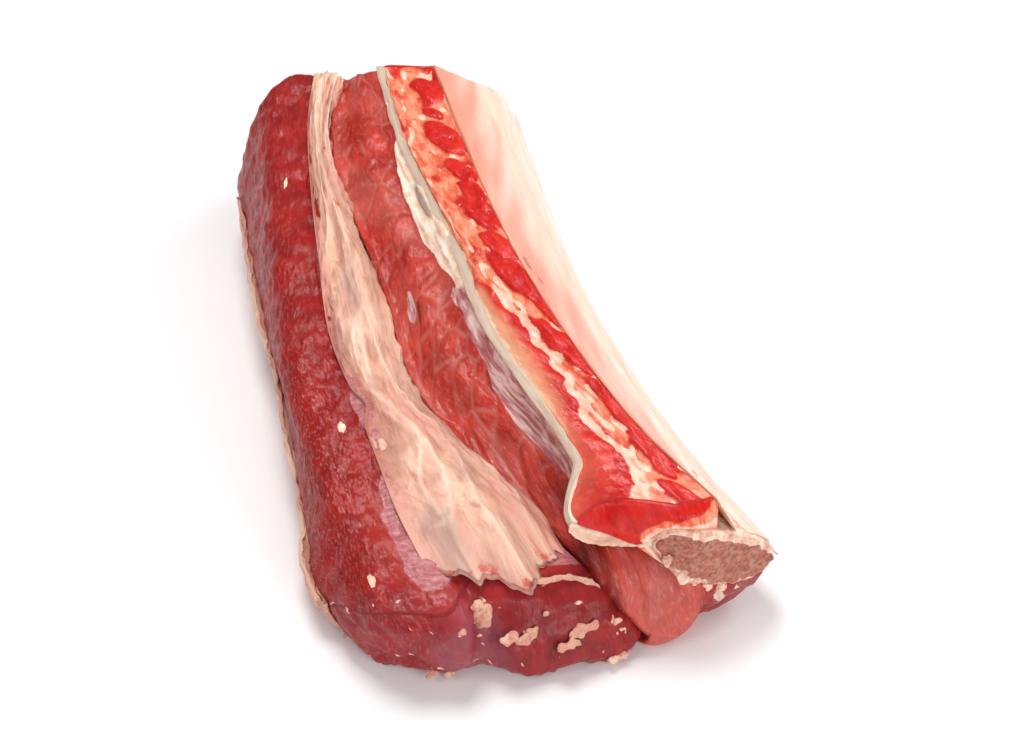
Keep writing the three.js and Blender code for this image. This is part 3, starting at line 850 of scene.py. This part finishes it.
# Each lobe of red meat beside the ridge: place along in t, place across as a part of the strip,
# and its half width and half length in millimetres.
LOBES = (
    (0.930, 0.20, 3.6, 7.5), (0.867, 0.26, 1.5, 3.5), (0.800, 0.22, 4.2, 9.5), (0.717, 0.20, 2.8, 7),
    (0.663, 0.165, 2.6, 6.5), (0.610, 0.185, 4.2, 8.5), (0.533, 0.18, 4.0, 7.5), (0.457, 0.18, 4.6, 12),
    (0.387, 0.04, 1.8, 9), (0.310, 0.18, 4.0, 13), (0.220, 0.10, 3.5, 6.5), (0.167, 0.10, 3.8, 8.5),
    (0.107, 0.165, 3.5, 8.5), (0.073, 0.23, 1.8, 4), (0.027, 0.26, 2.6, 6.5), (0.003, 0.17, 2.5, 3.5),
)
# The white septum between those lobes and the smooth strip beside the fascia, across over t.
SEPTUM = ((0, 0.03, 0.073, 0.117, 0.16, 0.207, 0.28, 0.357, 0.44, 0.48),
          (0.55, 0.5, 0.386, 0.47, 0.6, 0.5, 0.386, 0.367, 0.44, 0.48))

rib = Layer(
    "rib_muscle_meat", rib_muscle_section, 76, 300, 10,
    high=((0, 0.03, 0.86, 1), (0, 1 / 12, 9 / 12, 1)), swell=(3, 2), rounding=6,
    start=lambda p: 3 * rise((40, 54), p[:, 1]),
)
g = rib.grain
along = g[:, 1]
across = (rib.at - 1) / 8
steps = chain_length(rib_muscle_section(np.full(2, 0.3))[1])
tuck, width = steps[1], steps[9] - steps[1]
lobes = np.zeros(len(along))
for t, part, half_wide, half_long in LOBES:
    wander = 0.9 * rough(g, (3.5, 7, 9), 17)
    middle = (tuck + part * width, t * LENGTH)
    lobes = np.maximum(lobes, oval(g[:, 0] + wander, along, middle, (half_wide, half_long), 0.17))
septum_at = np.interp(rib.t, *SEPTUM) + 0.05 * rough(g, (9, 5, 9), 18)
near_part = rise((0.47, 0.42), rib.t)
left = across - septum_at
strip = rise((0.02, 0.1), left) * near_part
white = hump(0.0, 0.075, left) * near_part * (0.85 + 0.3 * rough(g, (3, 4, 4), 19))
face = rib.top
block = rise((0.2, 0.1), rib.t)
rib.raise_by((1.0 * lobes - 0.5 + 0.9 * hump(0.5, 0.3, left / 0.6) * strip - 0.4 * white
              + 0.35 * rough(g, (3, 6, 4), 20)) * face * rise((0, 0.08), across))
# At the near end the red turns pale, and cream along the lower edge, as the meat thins over the bone.
on_end = rise((3, 1), rib.since)
x = rib.spots[:, 0]
end_pale = rib.ends * rise((0.55, 0.25), rib.v + 0.12 * rough(rib.spots, 5, 54) - 0.03 * (x - 2))
beside_lobes = (1 - lobes) * (1 - strip)
rib.mark("pale", np.maximum(beside_lobes * (0.72 + 0.4 * rough(g, (4, 7, 4), 21)) * face, end_pale))
blotches = beside_lobes * rise((0.15, 0.6), rough(g, (2.4, 6, 4), 22) + 0.3 * near_part - 0.08)
rim = rise((0.4, 0.5), left) * strip * (1 - block)
low_band = rib.ends * rise((0.34, 0.16), rib.v + 0.1 * rough(rib.spots, 3, 51) - 0.012 * (x - 2))
on_top = np.maximum(np.maximum(blotches, 0.95 * white), 0.9 * rim) * face
rib.mark("cream", np.maximum(on_top, low_band))
rib.mark("glaze", np.clip(rise((0.1, 0.48), left) * strip * (1 - 0.8 * block), 0, 1) * face)
rib.mark("bruise", 0.25 * on_end * np.clip(rough(rib.spots, 6, 55), 0, 1))
# Painted glints: pale dashes on the near block of the strip.
rib.mark("glint_strokes", 0.7 * block * strip * (1 - rib.ends))
rib.stand_for("rib_muscle", rib_meat)

hidden = Layer("far_rib_muscle_meat", hidden_rib_muscle_section, 12, 200, 10, rounding=2,
               start=lambda p: 3 + 0 * p[:, 0])
hidden.raise_by(0.4 * rough(hidden.spots, 5, 20))
hidden.stand_for("hidden_rib_muscle", rib_meat)

# ---- fascia, membrane, cap -----------------------------------------------------------------------

sheet = Layer("fascia_sheet", fascia_section, 20, 286, 4, rounding=2)
edge = rise((0.3, 0.0), sheet.u)
sheet.raise_by(0.35 * rough(sheet.grain, (3, 9, 3), 21) + 0.6 * edge)
# Painted highlight along the raised upper edge.
sheet.mark("painted_highlight", 0.8 * edge)
sheet.mark("blush", 0.4 * np.clip(rough(sheet.grain, (9, 20, 9), 44), 0, 1))
sheet.stand_for("fascia", white_sheet)

skin = Layer("rib_membrane", membrane_section, 64, 286, 2, rounding=2,
             start=lambda p: 2.5 * rise((40, 54), p[:, 1]))
g = skin.grain
slanted = np.stack([g[:, 0] - 0.35 * g[:, 1], g[:, 1], g[:, 2]], -1)
skin.raise_by(0.25 * rough(g, (9, 50, 9), 22) + 0.2 * rough(slanted, (2.4, 40, 9), 23))
skin.mark("blush", 0.9 * rise((0.22, 0.02), skin.u + 0.07 * rough(slanted, (5, 30, 9), 24))
          + 0.25 * np.clip(rough(slanted, (4, 50, 9), 45), 0, 1))
skin.mark("red", 0.9 * oval(g[:, 0], g[:, 1], (4, 108), (0.9, 3.5))
          + 0.8 * oval(g[:, 0], g[:, 1], (6.5, 101), (0.8, 3)))
# Painted shade: the membrane greyer and darker towards its right edge.
skin.mark("grey_and_shade", 0.15 * rise((0.6, 1.0), skin.u))
skin.stand_for("membrane", rib_skin)


def cap_start(p):
    """The cap's ragged near edge: how far it stops short of the near end."""
    return CAP_SET_BACK + 1.5 * rough(p[:, [0, 1, 1]], 5, 58) + 1.0 * rough(p[:, [0, 1, 1]], 2, 59)


cap = Layer("outside_fat", fat_cap_section, 30, 240, 4, start=cap_start, end=LENGTH - CAP_SET_BACK,
            rounding=2)
from_edge = np.minimum(cap.u, 1 - cap.u)
cap.raise_by(0.4 * rough(cap.spots, 5, 25) + 0.8 * rough(cap.spots, 16, 52)
             + 0.4 * folds(cap.grain, (3, 14, 9), 60)
             - 1.6 * rise((0.14, 0.0), from_edge + 0.07 * rough(cap.grain, (9, 6, 9), 61)))
cap.mark("blush", np.clip(0.3 + 0.7 * rough(cap.grain, (6, 22, 9), 62), 0, 0.8))
cap.stand_for("fat_cap", seam_fat)

# ---- bone ----------------------------------------------------------------------------------------

bone = Layer(
    "rib_bone", bone_section, 60, 220, 20,
    low=((0, 1), (0.03, 0.97)), high=((0, 1), (0.03, 0.97)),
    start=lambda p: -BONE_PROUD + 0 * p[:, 0], rounding=3,
)
# The pale rim round the marrow, thinner below.
from_upper, from_lower = (1 - bone.v) * BONE_THICK, bone.v * BONE_THICK + 1.2
depth = np.minimum(np.minimum(bone.u, 1 - bone.u) * BONE_WIDE, np.minimum(from_upper, from_lower))
ends = (bone.along < 0.0001) | (bone.along > 0.9999)
bone.raise_by(0.2 * rough(bone.spots, 3, 26) + ends * 0.35 * rough(bone.spots, 1.8, 27))
bone.mark("marrow", ends * rise((1.6, 3.6), depth + 1.2 * rough(bone.spots, 3, 28)))
blood = 0.4 * rough(bone.spots, 4, 46) + 0.5 * rise((3.5, 1.2), from_lower)
bone.mark("red", ends * np.clip(blood, 0, 0.7))
bone.stand_for("bone", bone_material)

# ---- small pieces at the near end ----------------------------------------------------------------

# Crumbs of fat on the cut end: place across and up, and half their width and height.
CRUMBS = (
    (-49.5, 21, 3.0, 3.8), (-51, 25, 1.8, 1.8), (-44.5, 16.5, 3.2, 2.2), (-40.5, 15.5, 3.2, 1.9),
    (-37.5, 17.5, 1.8, 1.3), (-29, 12, 3.4, 1.7), (-25, 14, 3.2, 2.0), (-21.5, 16, 1.7, 1.4),
    (-13.5, 14.5, 0.9, 0.9), (-10.5, 16, 0.8, 0.8), (-12, 11.5, 0.8, 0.8), (-66, 3.5, 2.0, 1.3),
    (-61, 2.6, 1.5, 1.1), (-15, 3.5, 3.4, 1.6), (-58, 24, 1.1, 1.0), (-33, 21, 0.7, 0.6),
)
# Splinters on the torn lower edge of the sawn bone.
SPLINTERS = (
    (2.5, 32.5, 1.5, 2.4), (6, 27.5, 1.6, 2.4), (10, 23.5, 1.3, 2.2), (14.5, 19.5, 1.4, 2.8),
    (19.5, 15.5, 1.4, 2.2), (24.5, 13, 1.2, 1.8),
)


def bits(name, table, on, material, seed, proud=-0.2, deep=0.7):
    """Small lumps on the near face of a layer, joined into one piece. proud is how far their middles
    stand before the face, in millimetres, and deep their depth as a part of their size."""
    spots = on.spots
    front = spots[on.since < 3]
    made = []
    for x, z, wide, tall in table:
        near = np.hypot(front[:, 0] - x, front[:, 2] - z)
        y = front[near < near.min() + 1.5][:, 1].min() - proud
        bpy.ops.object.select_all(action="DESELECT")
        bpy.ops.mesh.primitive_ico_sphere_add(subdivisions=4, radius=1)
        lump = bpy.context.object
        lump.scale = (wide * MM, min(wide, tall) * deep * MM, tall * MM)
        lump.location = (np.array([x, y, z]) + ORIGIN) * MM
        bpy.ops.object.transform_apply(location=True, rotation=True, scale=True)
        made.append(lump)
    for lump in made:
        lump.select_set(True)
    bpy.ops.object.join()
    piece = bpy.context.object
    piece.name = name
    at = read(piece) / MM
    height = 0.8 * rough(at, 2.2, seed) + 0.3 * rough(at, 0.9, seed + 1)
    write(piece, read(piece) + read(piece, "normal") * (height * MM)[:, None])
    bpy.ops.object.shade_smooth()
    put_attribute(piece, "grain", read(piece))
    put_attribute(piece, "blush", np.clip(0.35 + 0.5 * rough(at, 3, seed + 2), 0, 1))
    add_small_piece(piece, material)


def strand(name, path, wide, thick, material, seed, blush):
    """A lumpy band along a few points in space; wide and thick are half sizes at each point."""
    piece = lattice(name, 10, 120, 6)
    unit = read(piece)
    at = unit[:, 1]
    places = np.linspace(0, 1, len(path))
    middle = np.stack([through(places, [p[k] for p in path], at) for k in range(3)], -1)
    ahead = np.stack([through(places, [p[k] for p in path], at + 0.01) for k in range(3)], -1)
    run = ahead - np.stack([through(places, [p[k] for p in path], at - 0.01) for k in range(3)], -1)
    toward = np.array([-0.32, -0.62, 0.72])  # out of the meat, up and to the front
    side = np.cross(run, toward)
    side /= np.linalg.norm(side, axis=-1, keepdims=True)
    half_wide, half_thick = through(places, wide, at), through(places, thick, at)
    points = middle + side * ((unit[:, :1] - 0.5) * 2 * half_wide[:, None])
    points += toward * ((unit[:, 2:] - 0.5) * 2 * half_thick[:, None])
    write(piece, (points + ORIGIN) * MM)
    outward_normals(piece)
    finish_modifier(piece, "SMOOTH", factor=0.5, iterations=4)
    height = 0.35 * rough(points, 3, seed) + 0.2 * rough(points, 1.2, seed + 1)
    write(piece, read(piece) + read(piece, "normal") * (height * MM)[:, None])
    bpy.ops.object.shade_smooth()
    grain = np.stack([unit[:, 0] * 6, at * 40, unit[:, 2] * 3], -1) * MM
    put_attribute(piece, "blush", np.full(len(at), blush))
    put_attribute(piece, "grain", grain)
    add_small_piece(piece, material)


bits("fat_crumbs", CRUMBS, outer, seam_fat, 60)
bits("bone_splinters", SPLINTERS, bone, bone_material, 62, proud=-1.4, deep=0.8)
# The paths of two folds: x, y and z along each.
FASCIA_FOLD = ((-20, -75.5, 40.5), (-15, -77.3, 36.5), (-9, -79.5, 34.8), (-2, -85.5, 36.8), (4, -90.5, 40))
SILVERSKIN_FOLD = ((-36, -78.5, 27), (-30, -79.5, 27), (-22, -80.5, 25), (-16.5, -84, 22.5),
                   (-14, -87, 18.5))
strand("fascia_fold", FASCIA_FOLD, (1.3, 2.2, 2.5, 2.3, 1.6), (0.7, 1.0, 1.1, 1.0, 0.8),
       white_sheet, 64, 0.15)
strand("silverskin_fold", SILVERSKIN_FOLD, (0.4, 0.8, 0.9, 0.8, 0.4), (0.4, 0.5, 0.5, 0.4, 0.3),
       white_sheet, 66, 0.7)

# ---- floor, lights, camera -----------------------------------------------------------------------

AIM = Vector(ORIGIN * MM) + Vector((0, 0, 25 * MM))
ELEVATION = math.radians(46)
AZIMUTH = math.radians(27)
DISTANCE = 0.85
LENS = 97  # millimetres, on a 36 mm wide picture


def table_top():
    """A plain pale floor."""
    bpy.ops.object.select_all(action="DESELECT")
    bpy.ops.mesh.primitive_plane_add(size=4, location=(0, 0, 0))
    floor = bpy.context.object
    floor.name = "floor"
    material, tree = start_material("white studio floor")
    inputs = {"Base Color": colour("#fbfafb"), "Roughness": 0.6}
    shader = add(tree, "BsdfPrincipled", None, inputs)
    add(tree, "OutputMaterial", None, {"Surface": shader.outputs[0]})
    floor.data.materials.append(material)


def softbox(name, place_at, size, power):
    light = bpy.data.lights.new(name, "AREA")
    light.shape = "DISK"
    light.size = size
    light.energy = power
    made = bpy.data.objects.new(name, light)
    made.location = place_at
    made.rotation_euler = (AIM - Vector(place_at)).to_track_quat("-Z", "Y").to_euler()
    bpy.context.scene.collection.objects.link(made)


table_top()
softbox("overhead softbox", (0.05, 0.35, 1.1), 0.5, 7.5)
softbox("left softbox", (-0.9, -0.1, 0.8), 0.5, 1.8)
softbox("right softbox", (1.0, 0.1, 0.7), 0.6, 4)
softbox("front fill", (0.1, -1.2, 0.55), 0.8, 7.5)

world = bpy.data.worlds.new("studio")
world.use_nodes = True
background = world.node_tree.nodes["Background"]
background.inputs["Color"].default_value = (1, 1, 1, 1)
background.inputs["Strength"].default_value = 0.35
bpy.context.scene.world = world
bpy.context.scene.view_settings.view_transform = "Standard"

back = Vector((-math.sin(AZIMUTH) * math.cos(ELEVATION), -math.cos(AZIMUTH) * math.cos(ELEVATION),
               math.sin(ELEVATION)))
camera = bpy.data.objects.new("camera", bpy.data.cameras.new("camera"))
camera.data.lens = LENS
camera.data.sensor_width = 36
camera.data.sensor_fit = "HORIZONTAL"
camera.location = AIM + back * DISTANCE
camera.rotation_euler = (-back).to_track_quat("-Z", "Y").to_euler()
bpy.context.scene.collection.objects.link(camera)
bpy.context.scene.camera = camera
